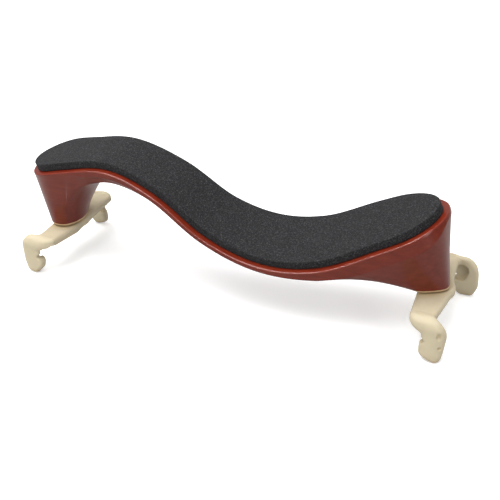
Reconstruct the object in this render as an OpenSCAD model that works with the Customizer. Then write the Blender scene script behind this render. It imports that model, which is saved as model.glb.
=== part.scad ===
// Violin shoulder rest: an S-shaped wooden bridge with a foam pad on top and a
// screw-in clawed foot under each end. Millimetres, +Z up. The origin is on the
// table, midway between the two screw axes; +X runs towards the chest end.

/* [Pad] */
// Length of the foam pad along X
pad_length = 213.5; // [205:0.5:225]
// Thickness of the foam pad
pad_thickness = 4; // [3:0.5:5]
// Half width of the pad at five even stations, shoulder end first
pad_half_widths = [16, 14, 16, 18.5, 18]; // [13:0.5:20]
// X of the middle of the pad
pad_mid_x = -6.85; // [-8:0.05:-2]

/* [Wooden bridge] */
// Heights of the top centreline at nine even stations
top_heights = [54, 61.5, 66, 58, 41, 33.5, 36.5, 49, 61.5]; // [33:0.5:70]
// Sideways bow of the centreline at five even stations
top_bow = [0, -5, -7, -6, 1]; // [-8:0.5:2]
// Sideways tilt of the top at four even stations, in degrees
top_tilts = [6, 5, 9, 0]; // [-4:1:10]
// Width of the bare wooden rim around the pad
rim_width = 2.8; // [2:0.1:4]
// Thickness of the bridge at its thinnest place
bridge_thickness = 3.6; // [3.4:0.1:7]
// Height of the upright band under the rim at the chest end
band_height = 6.8; // [5:0.1:8]
// Depth of the layer of adhesive under the pad
adhesive_gap = 0.3; // [0.2:0.05:0.4]

/* [End blocks] */
// Height of the block bases above the table
base_height = 23.5; // [23:0.5:26]
// Half length, half width, corner power and turn of the shoulder block's base
shoulder_base = [9.3, 11.8, 2, 0]; // [0:0.1:30]
// Half length, half width, corner power and turn of the chest block's base
chest_base = [9.8, 10, 3.2, 28]; // [0:0.1:30]

/* [Screws] */
// Distance of each screw axis from the middle
screw_x = 99.2; // [95:0.1:104]
// Diameter of the screw stud
stud_d = 4.9; // [4:0.1:5.9]
// Outer diameter of the threaded insert
insert_d = 6.5; // [6.5:0.1:8]
// Length of the threaded insert
insert_length = 13; // [10:0.5:14]
// Radial clearance between stud and insert
running_gap = 0.05; // [0.02:0.01:0.08]

/* [Feet] */
// Gap between a block's base and the foot under it
foot_gap = 1; // [0.9:0.1:1.5]
// Thickness of the foot's arms
arm_thickness = 5.5; // [5:0.5:6.5]
// Distance of each claw's middle from the screw axis, along the arms
claw_reach = 28.9; // [28:0.1:31]
// Width of a claw along the arms
claw_width = 5.2; // [5:0.1:7]
// Turn of both feet about their screws at rest, in degrees
foot_turn = 5; // [0:1:10]

/* [Hidden] */

half_pad = pad_length / 2;
half_wood = half_pad + rim_width;
SHOULDER = 0;
CHEST = 1;
side_sign = [-1, 1];
block_base = [shoulder_base, chest_base];
// Centres of the two block bases, in X and Y
base_centre = [[-101.7, -3], [96.7, -0.5]];
// Angle at which the underside arch leaves each base, counted from the outer tip
arch_angle = [120, 140];
// X at which each arch has become the plain bridge
arch_end_x = [-73.8, 46.5];
// Direction in which each arch leaves its base, and its two tangent lengths as shares of its chord
arch_direction = [[-0.09, 0, 1], [-1, 0, 0.15]];
arch_pull = [[0.3, 0.34], [0.35, 0.5]];
// How far the middle of each arch's underside stands out from its edges: sideways at its base,
// further sideways at mid arch, and down at mid arch
arch_bulge = [[4.6, 3.4, 2.2], [1, 0, 1]];
// The chest end's upright band fades out over this angle at the outer tip
band_fade_angle = 60;
// The bridge thickens by this much at this distance from the middle
thickening = 3.4;
thickening_x = 60;
// Rounded belly under the plain bridge
underside_belly = 0.6;
// Height of the bridge's upright side in the middle and at the arches, and the power that raises it there
side_middle = 2.2;
side_ends = [3.5, 5.1];
side_power = 8;
// Place of the underside's inner points: share of the way to the middle, and share of the belly
inner_share = 0.4;
inner_belly = 0.7;
// The pad's ends are this much blunter than half circles
end_bluntness = 2;
// Angle of the first station from each outer tip
tip_angle = 5;
base_steps = 10;
arch_steps = 9;
bridge_steps = 28;
pad_steps = 48;
// Rounding of the rim, least lip height under it, and inset of the bridge's lower edges
rim_round = 1.2;
rim_lip = 0.8;
edge_inset = 2.5;
foam_round = 0.8;
// No rounding takes more than this share of a half width
max_round_share = 0.4;

// ---- curve helpers

function before(v) = 2 * v[0] - v[1];
function after(v) = 2 * v[len(v) - 1] - v[len(v) - 2];

// Smooth curve through values v at even stations; s runs from -half_pad to half_pad
function through(v, s) =
    let (n = len(v),
         u = (s + half_pad) / pad_length * (n - 1),
         i = max(0, min(n - 2, floor(u))),
         f = u - i,
         p0 = i == 0 ? before(v) : v[i - 1],
         p1 = v[i],
         p2 = v[i + 1],
         p3 = i == n - 2 ? after(v) : v[i + 2])
    p1 + 0.5 * f * (p2 - p0 + f * (2 * p0 - 5 * p1 + 4 * p2 - p3 + f * (3 * (p1 - p2) + p3 - p0)));

function slope(v, s) = (through(v, s + 0.01) - through(v, s - 0.01)) / 0.02;
function unit(a) = a / norm(a);
function smooth(t) = t * t * (3 - 2 * t);

// Centre, sideways direction and upward normal of the wood's top at x
function centre(x) = let (s = x - pad_mid_x) [x, through(top_bow, s), through(top_heights, s)];
function along(x) = let (s = x - pad_mid_x) unit([1, slope(top_bow, s), slope(top_heights, s)]);
function across(x) =
    let (t = along(x), h = unit([-t[1], t[0], 0]), a = through(top_tilts, x - pad_mid_x))
    h * cos(a) + cross(t, h) * sin(a);
function up(x) = cross(along(x), across(x));

// Half width of an outline that stands grow outside the pad; its ends are round
function end_radius(x, grow) =
    (x < pad_mid_x ? pad_half_widths[0] : pad_half_widths[len(pad_half_widths) - 1]) + end_bluntness + grow;
function half_width(x, grow) =
    let (s = x - pad_mid_x,
         r = end_radius(x, grow),
         e = max(0, abs(s) - (half_pad + grow - r)) / r)
    (through(pad_half_widths, s) + grow) * sqrt(max(0, 1 - e * e));

function bridge_depth(x) = bridge_thickness + thickening * pow(x / thickening_x, 2);

// ---- wooden bridge: one closed ring of points per station

function signed_pow(a, p) = sign(a) * pow(abs(a), p);

// Point of a block's base at angle t from its outer tip; edge is -1 in front and 1 behind
function base_point(side, t, edge) =
    let (b = block_base[side],
         px = side_sign[side] * b[0] * signed_pow(cos(t), 2 / b[2]),
         py = edge * b[1] * pow(abs(sin(t)), 2 / b[2]),
         c = base_centre[side])
    [c[0] + px * cos(b[3]) - py * sin(b[3]), c[1] + px * sin(b[3]) + py * cos(b[3]), base_height];

// Lower edge of the plain bridge
function bridge_edge(x, edge) =
    centre(x) - up(x) * bridge_depth(x)
    + across(x) * edge * (half_width(x, rim_width) - edge_inset);

function edge_direction(x, edge) = unit(bridge_edge(x + 0.01, edge) - bridge_edge(x - 0.01, edge));

function bezier(a, b, c, d, q) =
    pow(1 - q, 3) * a + 3 * pow(1 - q, 2) * q * b + 3 * (1 - q) * q * q * c + pow(q, 3) * d;

// Lower edge of an arch, from the base (q = 0) to the plain bridge (q = 1)
function arch_edge(side, q, edge) =
    let (a = base_point(side, arch_angle[side], edge),
         d = bridge_edge(arch_end_x[side], edge),
         span = norm(d - a),
         outward = edge_direction(arch_end_x[side], edge) * side_sign[side])
    bezier(a, a + arch_direction[side] * span * arch_pull[side][0],
           d + outward * span * arch_pull[side][1], d, q);

function end_x(side, t) =
    let (s = side_sign[side], r = end_radius(s * half_wood, rim_width))
    pad_mid_x + s * (half_wood - r + r * cos(t));

// One station: x on top, front and back lower edges, belly direction, band height
function block_station(side, t) =
    [end_x(side, t), base_point(side, t, -1), base_point(side, t, 1), [0, 0, 0],
     side == CHEST ? band_height * smooth(min(1, t / band_fade_angle)) : 0];
function arch_belly(side, q) =
    let (b = arch_bulge[side])
    [-side_sign[side] * (b[0] * (1 - smooth(q)) + b[1] * sin(180 * q)), 0, -b[2] * sin(180 * q)];
function arch_station(side, q) =
    let (x0 = end_x(side, arch_angle[side]),
         x = x0 + (arch_end_x[side] - x0) * q)
    [x, arch_edge(side, q, -1), arch_edge(side, q, 1),
     arch_belly(side, q) - up(x) * underside_belly * smooth(q),
     (side == CHEST ? band_height * (1 - smooth(q)) : 0) + side_ends[side] * smooth(q)];
function bridge_station(x) =
    let (q = (x - arch_end_x[0]) / (arch_end_x[1] - arch_end_x[0]))
    [x, bridge_edge(x, -1), bridge_edge(x, 1), -up(x) * underside_belly,
     side_middle + (side_ends[0] - side_middle) * pow(1 - q, side_power)
     + (side_ends[1] - side_middle) * pow(q, side_power)];

function block_stations(side) = concat(
    [for (i = [0:base_steps])
        block_station(side, tip_angle + (arch_angle[side] - tip_angle) * i / base_steps)],
    [for (i = [1:arch_steps]) arch_station(side, i / arch_steps)]);
function reversed(v) = [for (i = [len(v) - 1:-1:0]) v[i]];

stations = concat(
    block_stations(SHOULDER),
    [for (i = [1:bridge_steps - 1])
        bridge_station(arch_end_x[0] + (arch_end_x[1] - arch_end_x[0]) * i / bridge_steps)],
    reversed(block_stations(CHEST)));

// Front or back half of a ring, from the top down to the lower edge
function ring_side(st, edge) =
    let (x = st[0],
         c = centre(x),
         w = across(x) * edge,
         n = up(x),
         hw = half_width(x, rim_width),
         low = edge < 0 ? st[1] : st[2],
         rim = c + w * hw,
         band = rim - n * max(st[4], rim_round + rim_lip),
         mid = (st[1] + st[2]) / 2)
    [c + w * (hw - min(rim_round, hw * max_round_share)),
     rim - n * rim_round,
     band,
     (band + low) / 2,
     low,
     low * (1 - inner_share) + mid * inner_share + st[3] * inner_belly];

function ring(st) = concat(
    ring_side(st, -1),
    [(st[1] + st[2]) / 2 + st[3]],
    reversed(ring_side(st, 1)));

// Closed skin over a row of rings. An end cap is a ladder between the ring's two sides
// down to point "rungs", then a fan over the points below it.
module skin(rings, rungs) {
    n = len(rings);
    m = len(rings[0]);
    function at(i, j) = i * m + j % m;
    function cap(i) = concat(
        [for (j = [0:rungs - 1]) each [[at(i, j), at(i, j + 1), at(i, m - 1 - j)],
                                       [at(i, j + 1), at(i, m - 2 - j), at(i, m - 1 - j)]]],
        [for (j = [rungs + 1:m - 2 - rungs]) [at(i, rungs), at(i, j), at(i, j + 1)]]);
    function turned(f) = [for (t = f) [t[2], t[1], t[0]]];
    polyhedron(
        points = [for (r = rings) each r],
        faces = concat(
            [for (i = [0:n - 2], j = [0:m - 1]) each [[at(i, j), at(i, j + 1), at(i + 1, j + 1)],
                                                      [at(i, j), at(i + 1, j + 1), at(i + 1, j)]]],
            turned(cap(0)),
            cap(n - 1)),
        convexity = 8);
}

// The insert's hole goes on as a wider blind hole for the stud's end
blind_clearance = 0.35;
blind_depth = 4;

module at_screw(side) {
    translate([side_sign[side] * screw_x, 0, 0]) children();
}

module wood_bridge() {
    color([0.42, 0.15, 0.08]) difference() {
        skin([for (st = stations) ring(st)], 3);
        for (side = [SHOULDER, CHEST]) at_screw(side) {
            translate([0, 0, base_height - 1]) cylinder(d = insert_d, h = insert_length + 1, $fn = 48);
            translate([0, 0, base_height])
                cylinder(d = stud_d + 2 * blind_clearance, h = insert_length + blind_depth, $fn = 48);
        }
    }
}

// ---- foam pad: a strip of even thickness glued on the top

// The pad's first and last rings stand just short of its tips
pad_tip = 0.999;
function pad_x(i) = pad_mid_x + half_pad * pad_tip * sin(-90 + 180 * i / pad_steps);
function pad_ring(x) =
    let (c = centre(x), w = across(x), n = up(x), hw = half_width(x, 0),
         hi = adhesive_gap + pad_thickness, soft = min(foam_round, hw * max_round_share))
    [c - w * hw + n * adhesive_gap,
     c - w * hw + n * (hi - foam_round),
     c - w * (hw - soft) + n * hi,
     c + w * (hw - soft) + n * hi,
     c + w * hw + n * (hi - foam_round),
     c + w * hw + n * adhesive_gap];

module foam_pad() {
    color([0.16, 0.16, 0.17]) skin([for (i = [0:pad_steps]) reversed(pad_ring(pad_x(i)))], 1);
}

// ---- metal thread parts

module insert(side) {
    color([0.80, 0.64, 0.32]) at_screw(side) translate([0, 0, base_height]) difference() {
        cylinder(d = insert_d, h = insert_length, $fn = 48);
        translate([0, 0, -1]) cylinder(d = stud_d + 2 * running_gap, h = insert_length + 2, $fn = 48);
    }
}

foot_top = base_height - foot_gap;
foot_bottom = foot_top - arm_thickness;
head_d = 8.4;
head_height = 2.6;
head_slot = [1.2, 1];
// The stud ends this far below the top of its insert
stud_short = 0.6;

module stud(side) {
    color([0.75, 0.75, 0.77]) at_screw(side) translate([0, 0, foot_bottom]) difference() {
        union() {
            cylinder(d = head_d, h = head_height, $fn = 48);
            cylinder(d = stud_d, h = base_height + insert_length - stud_short - foot_bottom, $fn = 48);
        }
        translate([-head_d, -head_slot[0] / 2, -1]) cube([2 * head_d, head_slot[0], 1 + head_slot[1]]);
    }
}

// ---- feet: a fork with two arms, and a rubber boot over each claw
// Local frame of a foot: X outwards from the other foot, Y along the arms, Z up.

claw_inner = claw_reach - claw_width / 2;
claw_outer = claw_reach + claw_width / 2;
// Hub of the fork in plan
hub_x = 2.5;
hub_r = 8.5;
// The arms' middle line, set off by the sway to opposite sides; root distance and radius; ends
arm_mid_x = 2;
arm_sway = 1.3;
arm_root = [10, 7];
arm_end_half_width = 5.5;
arm_end_length = 3;
// Circles that round the claw's side view, as X, Z and radius: top of the arch, knuckle,
// back, the two sides of the sole, the toe, and the lip under the throat
claw_top = [0.8, 19.7, 2.7];
claw_knuckle = [10, 17.5, 6.4];
claw_back = [10, 8.5, 6];
claw_sole = [[8, 3, 3], [11.4, 3, 3]];
claw_toe = [6, 5, 3];
claw_lip = [5, 7, 2];
// The claw's lower corner beside the hub is cut away over this length and height
claw_heel = [1.7, 5];
// The throat, as depth from the screw axis, height and middle Z; it is shallower through the outer wall
throat = [11.6, 5.2, 12];
throat_in_wall = [6.5, 4.6, 11.4];
throat_mouth_x = -3;
claw_wall = 1.5;
// The fork's hook inside the boot: a plate along the arch and a plate down the back, as X and Z
// ranges; it starts some way in, and a narrower neck joins it to the arm
core_arch = [[0.6, 14.2], [18.2, 21.2]];
core_back = [[12.6, 14.6], [8, 19]];
core_neck = [[0.6, 6], [18.2, 21.2]];
core_start = 0.8;
// Nothing that is cut away or joined ends flush
overlap = 1;

module place_foot(side) {
    at_screw(side) rotate([0, 0, side == CHEST ? -foot_turn : 180 - foot_turn]) children();
}

// Plan of the fork: a round hub between two tapering arms
module fork_plan() {
    translate([hub_x, 0]) circle(r = hub_r, $fn = 96);
    for (end = [-1, 1]) translate([arm_mid_x - end * arm_sway, 0]) hull() {
        translate([0, end * arm_root[0]]) circle(r = arm_root[1], $fn = 48);
        translate([-arm_end_half_width, end > 0 ? claw_inner - arm_end_length : -claw_inner])
            square([2 * arm_end_half_width, arm_end_length]);
    }
}

// Side view of a claw: the outer outline of the hook, in X and Z
module claw_outline() {
    hull() {
        disc(claw_top);
        disc(claw_knuckle);
    }
    hull() {
        disc(claw_knuckle);
        disc(claw_back);
        for (c = claw_sole) disc(c);
        disc(claw_toe);
        disc(claw_lip);
    }
}
module disc(c) {
    translate([c[0], c[1]]) circle(r = c[2], $fn = 48);
}

// Side view of a throat that takes the edge of the violin
module throat_outline(t) {
    translate([throat_mouth_x, t[2] - t[1] / 2]) square([t[0] - t[1] / 2 - throat_mouth_x, t[1]]);
    disc([t[0] - t[1] / 2, t[2], t[1] / 2]);
}

// Extrudes a side view along +Y from y0 to y1
module along_arm(y0, y1) {
    translate([0, y1, 0]) rotate([90, 0, 0]) linear_extrude(height = y1 - y0) children();
}

// A plate seen from the side, from its X and Z ranges
module plate(c) {
    translate([c[0][0], c[1][0]]) square([c[0][1] - c[0][0], c[1][1] - c[1][0]]);
}

// The fork's hook inside the boot
module claw_core() {
    along_arm(claw_inner - overlap, claw_inner + core_start + overlap) plate(core_neck);
    along_arm(claw_inner + core_start, claw_outer - claw_wall) {
        plate(core_arch);
        plate(core_back);
    }
}

// Wedge that takes off the claw's lower corner beside the hub
module heel_cut() {
    run = claw_heel[0];
    rise = claw_heel[1];
    more = 1 + overlap;
    translate([-claw_outer, claw_inner, 0]) rotate([90, 0, 90]) linear_extrude(height = 2 * claw_outer)
        polygon([[run * more, rise * (1 - more)], [run * (1 - more), rise * more],
                 [run * (1 - more), rise * (1 - more)]]);
}

module foot(side) {
    bore = stud_d + 2 * running_gap;
    color([0.88, 0.83, 0.70]) place_foot(side) difference() {
        union() {
            translate([0, 0, foot_bottom]) linear_extrude(height = arm_thickness) fork_plan();
            for (end = [0, 1]) mirror([0, end, 0]) claw_core();
        }
        translate([0, 0, foot_bottom - overlap]) {
            cylinder(d = bore, h = arm_thickness + 2 * overlap, $fn = 48);
            cylinder(d = head_d + 2 * running_gap, h = head_height + running_gap + overlap, $fn = 48);
        }
    }
}

module boot(side, end) {
    color([0.90, 0.86, 0.74]) place_foot(side) mirror([0, end, 0]) difference() {
        along_arm(claw_inner, claw_outer) claw_outline();
        along_arm(claw_inner - overlap, claw_outer - claw_wall) throat_outline(throat);
        along_arm(claw_inner - overlap, claw_outer + overlap) throat_outline(throat_in_wall);
        claw_core();
        heel_cut();
    }
}

wood_bridge();
foam_pad();
insert(SHOULDER);  // insert_shoulder
insert(CHEST);  // insert_chest
stud(SHOULDER);  // stud_shoulder
stud(CHEST);  // stud_chest
foot(SHOULDER);  // foot_shoulder
foot(CHEST);  // foot_chest
boot(SHOULDER, 0);  // boot_shoulder_front
boot(SHOULDER, 1);  // boot_shoulder_back
boot(CHEST, 1);  // boot_chest_front
boot(CHEST, 0);  // boot_chest_back
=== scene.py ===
"""Violin shoulder rest: the look of each piece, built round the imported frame.

Shapes are worked out in millimetres in the frame of the part and turned into metres when a
mesh is made. Places come from the boxes of the CAD nodes.
"""

import math

import bmesh
import bpy
import numpy as np
from mathutils import Matrix, Vector


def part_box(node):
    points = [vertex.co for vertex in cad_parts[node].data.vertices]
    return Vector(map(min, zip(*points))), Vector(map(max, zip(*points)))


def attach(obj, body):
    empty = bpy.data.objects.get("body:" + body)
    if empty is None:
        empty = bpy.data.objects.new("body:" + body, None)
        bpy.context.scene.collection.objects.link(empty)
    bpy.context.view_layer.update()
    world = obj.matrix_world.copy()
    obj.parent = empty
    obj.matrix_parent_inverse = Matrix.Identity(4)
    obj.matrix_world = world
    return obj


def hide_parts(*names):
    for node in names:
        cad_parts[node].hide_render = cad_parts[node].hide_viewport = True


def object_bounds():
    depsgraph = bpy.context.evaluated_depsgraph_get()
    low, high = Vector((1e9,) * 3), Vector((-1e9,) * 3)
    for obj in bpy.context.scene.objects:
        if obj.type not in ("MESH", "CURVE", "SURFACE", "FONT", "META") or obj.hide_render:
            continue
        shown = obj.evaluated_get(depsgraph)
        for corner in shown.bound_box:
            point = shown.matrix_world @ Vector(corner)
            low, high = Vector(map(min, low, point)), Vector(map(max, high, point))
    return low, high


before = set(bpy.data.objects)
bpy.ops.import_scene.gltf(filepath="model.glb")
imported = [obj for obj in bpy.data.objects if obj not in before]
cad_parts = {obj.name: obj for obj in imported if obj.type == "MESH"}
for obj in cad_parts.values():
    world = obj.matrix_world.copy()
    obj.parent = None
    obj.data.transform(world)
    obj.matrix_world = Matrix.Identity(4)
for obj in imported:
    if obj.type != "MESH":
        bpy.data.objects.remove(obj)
cad_low, cad_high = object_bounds()

MM = 0.001
SHOULDER, CHEST = 0, 1
SIDE_NAMES = ("shoulder", "chest")
SIDE_SIGN = (-1, 1)


def node_box(name):
    low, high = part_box(name)
    return np.array(low) / MM, np.array(high) / MM


# ---- sizes taken from the frame, in mm

pad_low, pad_high = node_box("foam_pad")
insert_low, insert_high = node_box("insert_chest")
stud_low, stud_high = node_box("stud_chest")

PAD_TIP = 0.999
PAD_MID_X = (pad_low[0] + pad_high[0]) / 2
HALF_PAD = (pad_high[0] - pad_low[0]) / 2 / PAD_TIP
SCREW_X = (insert_low[0] + insert_high[0]) / 2
BASE_Z = insert_low[2]
INSERT_R = (insert_high[0] - insert_low[0]) / 2
INSERT_TOP = insert_high[2]
# The hole in the wood goes on above the insert, a little narrower
CLEARANCE_R = INSERT_R - 0.5
CLEARANCE_TOP = INSERT_TOP + 4
STUD_LOW_Z = stud_low[2]
STUD_HIGH_Z = stud_high[2]
HEAD_R = (stud_high[0] - stud_low[0]) / 2

# ---- driving sizes of the bridge and pad, in mm and degrees

PAD_THICKNESS = 4
PAD_HALF_WIDTHS = [16, 14, 16, 18.5, 18]
TOP_HEIGHTS = [54, 61.5, 66, 58, 41, 33.5, 36.5, 49, 61.5]
TOP_BOW = [0, -5, -7, -6, 1]
TOP_TILTS = [6, 5, 9, 0]
RIM_WIDTH = 2.8
BRIDGE_THICKNESS = 3.6
THICKENING = (3.4, 60)
BAND_HEIGHT = 6.8
ADHESIVE_GAP = 0.3
END_BLUNTNESS = 2
EDGE_INSET = 2.5
BASES = ((9.3, 11.8, 2, 0), (9.8, 10, 3.2, 28))
BASE_CENTRES = ((-101.7, -3), (96.7, -0.5))
ARCH_ANGLES = (120, 140)
ARCH_END_X = (-73.8, 46.5)
ARCH_DIRECTIONS = ((-0.09, 0.35, 1), (-1, 0, 0.15))
ARCH_PULLS = ((0.3, 0.34), (0.35, 0.5))
ARCH_BULGES = ((4.6, 3.4, 2.2), (1, 0, 1))
ARCH_SOFTNESS = (4.5, 2.5)
BAND_FADE_ANGLE = 60
# Share of a block's angle from which its inner side starts to swell towards the arch
SWELL_START = 0.7
UNDERSIDE_BELLY = 0.6
SIDE_MIDDLE, SIDE_ENDS, SIDE_POWER = 2.2, (3.5, 5.1), 8
TIP_ANGLE = 3
FOOT_TURN = 5
# Distance of the rows that hold the lower edges crisp, and how far the band stands out at its foot
EDGE_SUPPORT = 0.9
BAND_LEDGE = 0.35
# Rows of a bridge ring, from the middle of the top to the underside. A pair is (mm, share), and the
# smaller of the two distances from the edge counts; a single number is a share
TOP_SHARE, TOP_ROWS = 0.4, ((4, 0.45), (1.5, 0.25))
RIM_ROW, BAND_ROW, LEDGE_ROW = (1.5, 0.55), (0.6, 0.2), (0.7, 0.2)
WALL_SHARES, WALL_SUPPORT = (0.35, 0.68), 0.28
UNDERSIDE_SHARES = (0.8, 0.58)
LEAST_DROP = 2
# How many stations the skin has round a block, along an arch and along the plain middle
BLOCK_STATIONS, ARCH_STATIONS, MIDDLE_STATIONS = 25, 19, 48
ARCH_START = 0.015
PAD_STATIONS = 121
PAD_CROWN = 0.15
SUBDIVISIONS = 2
HOLE_STEPS = 64
# Edges sharper than this keep a crease in the shading
WOOD_CREASE, METAL_CREASE = 38, 35


# ---- curves

def spline(values, share):
    """Catmull-Rom curve through even stations; share runs from 0 to 1 and may be an array."""
    v = np.asarray(values, float)
    v = np.concatenate([[2 * v[0] - v[1]], v, [2 * v[-1] - v[-2]]])
    u = np.asarray(share, float) * (len(values) - 1)
    i = np.clip(np.floor(u).astype(int), 0, len(values) - 2)
    f = u - i
    a, b, c, d = v[i], v[i + 1], v[i + 2], v[i + 3]
    return b + 0.5 * f * (c - a + f * (2 * a - 5 * b + 4 * c - d + f * (3 * (b - c) + d - a)))


def unit(v):
    return v / np.linalg.norm(v)


def smooth(t):
    t = min(1, max(0, t))
    return t * t * (3 - 2 * t)


def along_pad(x):
    return (x - PAD_MID_X + HALF_PAD) / (2 * HALF_PAD)


def centre(x):
    return np.array([x, spline(TOP_BOW, along_pad(x)), spline(TOP_HEIGHTS, along_pad(x))])


def top_frame(x):
    """Centre, direction along, direction across and normal of the wood's top at x."""
    step = 0.01
    along = unit(centre(x + step) - centre(x - step))
    level = unit(np.array([-along[1], along[0], 0]))
    tilt = math.radians(spline(TOP_TILTS, along_pad(x)))
    across = level * math.cos(tilt) + np.cross(along, level) * math.sin(tilt)
    return centre(x), along, across, np.cross(along, across)


def end_radius(x, grow):
    return PAD_HALF_WIDTHS[0 if x < PAD_MID_X else -1] + END_BLUNTNESS + grow


def half_width(x, grow):
    """Half width of an outline that stands grow outside the pad; its ends are round."""
    r = end_radius(x, grow)
    e = max(0, abs(x - PAD_MID_X) - (HALF_PAD + grow - r)) / r
    return (spline(PAD_HALF_WIDTHS, along_pad(x)) + grow) * math.sqrt(max(0, 1 - e * e))


# ---- meshes and pieces

def shade_smooth(mesh):
    mesh.polygons.foreach_set("use_smooth", [True] * len(mesh.polygons))


def make_object(name, points_mm, faces, body, replaced, material):
    """A smooth piece that rides on a body and stands for CAD nodes."""
    mesh = bpy.data.meshes.new(name)
    mesh.from_pydata([tuple(p) for p in np.asarray(points_mm, float) * MM], [], faces)
    mesh.validate()
    shade_smooth(mesh)
    mesh.materials.append(material)
    return place_mesh(name, mesh, Matrix.Identity(4), body, replaced)


def place_mesh(name, mesh, matrix, body, replaced):
    piece = bpy.data.objects.new(name, mesh)
    bpy.context.scene.collection.objects.link(piece)
    piece.matrix_world = matrix
    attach(piece, body)
    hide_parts(*replaced)
    return piece


def ring_faces(rings, size):
    """Quads between neighbouring closed rings of the same size."""
    faces = []
    for i in range(rings - 1):
        for j in range(size):
            k = (j + 1) % size
            faces.append((i * size + j, i * size + k, (i + 1) * size + k, (i + 1) * size + j))
    return faces


def ladder_cap(start, size):
    """Closes a ring that starts at its top middle point, with rungs between its two sides."""
    half = size // 2
    faces = [(start, start + 1, start + size - 1)]
    for j in range(1, half - 1):
        faces.append((start + j, start + j + 1, start + size - j - 1, start + size - j))
    faces.append((start + half - 1, start + half, start + half + 1))
    return faces


def closed_skin(rings):
    """Points and outward faces of a skin over rings listed from -X to +X."""
    size = len(rings[0])
    count = len(rings)
    near = [tuple(reversed(f)) for f in ladder_cap(0, size)]
    far = ladder_cap((count - 1) * size, size)
    return np.concatenate(rings), ring_faces(count, size) + near + far


def apply_modifiers(piece):
    """Bakes the modifiers of a piece into its mesh."""
    graph = bpy.context.evaluated_depsgraph_get()
    mesh = bpy.data.meshes.new_from_object(piece.evaluated_get(graph))
    piece.modifiers.clear()
    piece.data = mesh
    return piece


def subdivide(piece, levels):
    modifier = piece.modifiers.new("subdivision", "SUBSURF")
    modifier.levels = levels
    modifier.render_levels = levels
    return apply_modifiers(piece)


# ---- wooden bridge

def signed_power(a, p):
    return math.copysign(abs(a) ** p, a)


def base_point(side, degrees, edge):
    """Point of a block's base at an angle from its outer tip; edge is -1 in front, 1 behind."""
    half_length, half_breadth, power, turn = BASES[side]
    t, r = math.radians(degrees), math.radians(turn)
    px = SIDE_SIGN[side] * half_length * signed_power(math.cos(t), 2 / power)
    py = edge * half_breadth * abs(math.sin(t)) ** (2 / power)
    cx, cy = BASE_CENTRES[side]
    return np.array([cx + px * math.cos(r) - py * math.sin(r),
                     cy + px * math.sin(r) + py * math.cos(r), BASE_Z])


def bridge_depth(x):
    return BRIDGE_THICKNESS + THICKENING[0] * (x / THICKENING[1]) ** 2


def bridge_edge(x, edge):
    """Lower edge of the plain bridge."""
    c, _, across, up = top_frame(x)
    return c - up * bridge_depth(x) + across * edge * (half_width(x, RIM_WIDTH) - EDGE_INSET)


def arch_edge(side, q, edge):
    """Lower edge of an arch, from the base at q = 0 to the plain bridge at q = 1."""
    start = base_point(side, ARCH_ANGLES[side], edge)
    end = bridge_edge(ARCH_END_X[side], edge)
    span = np.linalg.norm(end - start)
    step = 0.01 * SIDE_SIGN[side]
    outer, inner = (bridge_edge(ARCH_END_X[side] + offset, edge) for offset in (step, -step))
    outward = unit(outer - inner)
    first = start + np.array(ARCH_DIRECTIONS[side]) * (1, edge, 1) * span * ARCH_PULLS[side][0]
    second = end + outward * span * ARCH_PULLS[side][1]
    p = 1 - q
    return p ** 3 * start + 3 * p * p * q * first + 3 * p * q * q * second + q ** 3 * end


def end_x(side, degrees):
    r = end_radius(SIDE_SIGN[side] * HALF_PAD * 2, RIM_WIDTH)
    return PAD_MID_X + SIDE_SIGN[side] * (HALF_PAD + RIM_WIDTH - r + r * math.cos(math.radians(degrees)))


def block_stations(side):
    """Stations from a block's outer tip to the end of its arch."""
    stations = []
    for t in np.linspace(TIP_ANGLE, ARCH_ANGLES[side], BLOCK_STATIONS):
        band = BAND_HEIGHT * smooth(t / BAND_FADE_ANGLE) if side == CHEST else 0
        swell = smooth((t / ARCH_ANGLES[side] - SWELL_START) / (1 - SWELL_START))
        belly = np.array([-SIDE_SIGN[side] * ARCH_BULGES[side][0] * swell, 0, 0])
        edges = base_point(side, t, -1), base_point(side, t, 1)
        stations.append((end_x(side, t), *edges, belly, band, EDGE_SUPPORT))
    x0 = end_x(side, ARCH_ANGLES[side])
    for q in [ARCH_START] + list(np.linspace(0, 1, ARCH_STATIONS)[1:]):
        x = x0 + (ARCH_END_X[side] - x0) * q
        out, more, down = ARCH_BULGES[side]
        out = -SIDE_SIGN[side] * (out * (1 - smooth(q)) + more * math.sin(math.pi * q))
        belly = np.array([out, 0, -down * math.sin(math.pi * q)])
        belly -= top_frame(x)[3] * UNDERSIDE_BELLY * smooth(q)
        band = SIDE_ENDS[side] * smooth(q) + (BAND_HEIGHT * (1 - smooth(q)) if side == CHEST else 0)
        support = EDGE_SUPPORT + ARCH_SOFTNESS[side] * math.sin(math.pi * q) ** 0.6
        stations.append((x, arch_edge(side, q, -1), arch_edge(side, q, 1), belly, band, support))
    return stations


def bridge_station(x):
    q = (x - ARCH_END_X[0]) / (ARCH_END_X[1] - ARCH_END_X[0])
    band = SIDE_MIDDLE + (SIDE_ENDS[0] - SIDE_MIDDLE) * (1 - q) ** SIDE_POWER
    band += (SIDE_ENDS[1] - SIDE_MIDDLE) * q ** SIDE_POWER
    belly = -top_frame(x)[3] * UNDERSIDE_BELLY
    return x, bridge_edge(x, -1), bridge_edge(x, 1), belly, band, EDGE_SUPPORT


def edge_distance(row, length):
    """How far a row lies from its edge, on a face of the given length."""
    distance, share = row
    return min(distance, share * length)


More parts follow.
